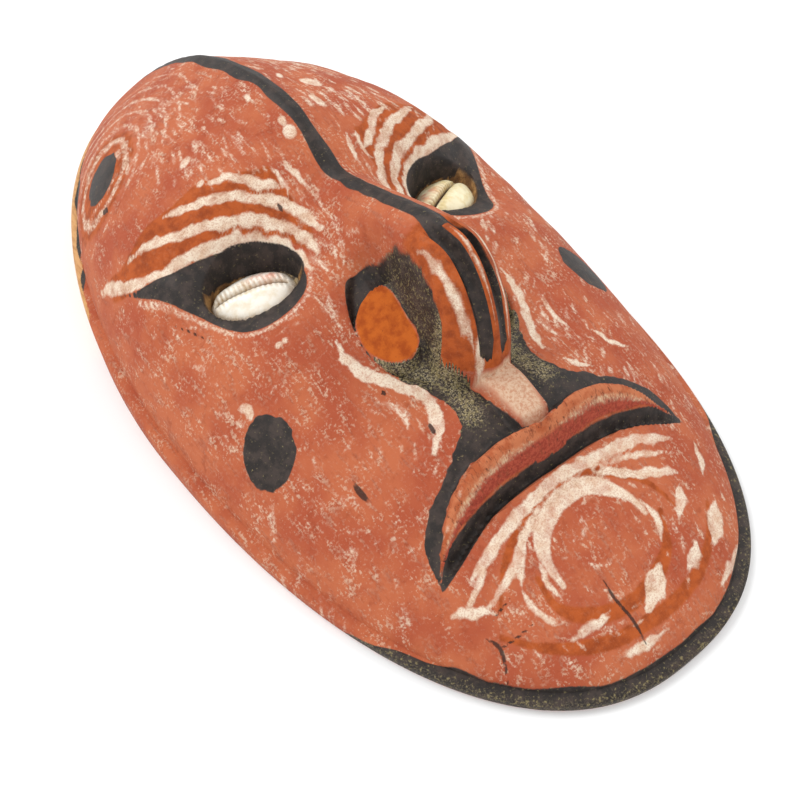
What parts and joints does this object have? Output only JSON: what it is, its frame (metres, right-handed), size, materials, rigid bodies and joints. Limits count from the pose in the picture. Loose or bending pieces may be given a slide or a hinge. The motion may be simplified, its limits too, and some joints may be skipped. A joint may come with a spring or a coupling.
{
  "type": "carved wooden face mask",
  "caption": "Long oval carved wooden spirit mask with a forehead crest, hooked nose, round nose wings, frowning mouth and cowrie shell eyes set in putty.",
  "frame": {"origin": "middle of the flat rim on which the mask rests, halfway along its length", "axes": "+X to the right of a viewer who faces the mask, +Y to the forehead, +Z out of the face"},
  "size_m": [0.1382, 0.26, 0.067],
  "materials": {
    "painted_wood": "matt red ochre paint on carved wood, scuffed, with white, orange and charcoal black patterns",
    "cowrie_shell": "polished sea shell, stands in for shell",
    "putty": "dry clay and resin putty"
  },
  "bodies": {
    "root": {"mask_shell": "painted_wood", "left_eye_cowrie": "cowrie_shell", "right_eye_cowrie": "cowrie_shell", "left_eye_putty": "putty", "right_eye_putty": "putty"}
  },
  "joints": []
}
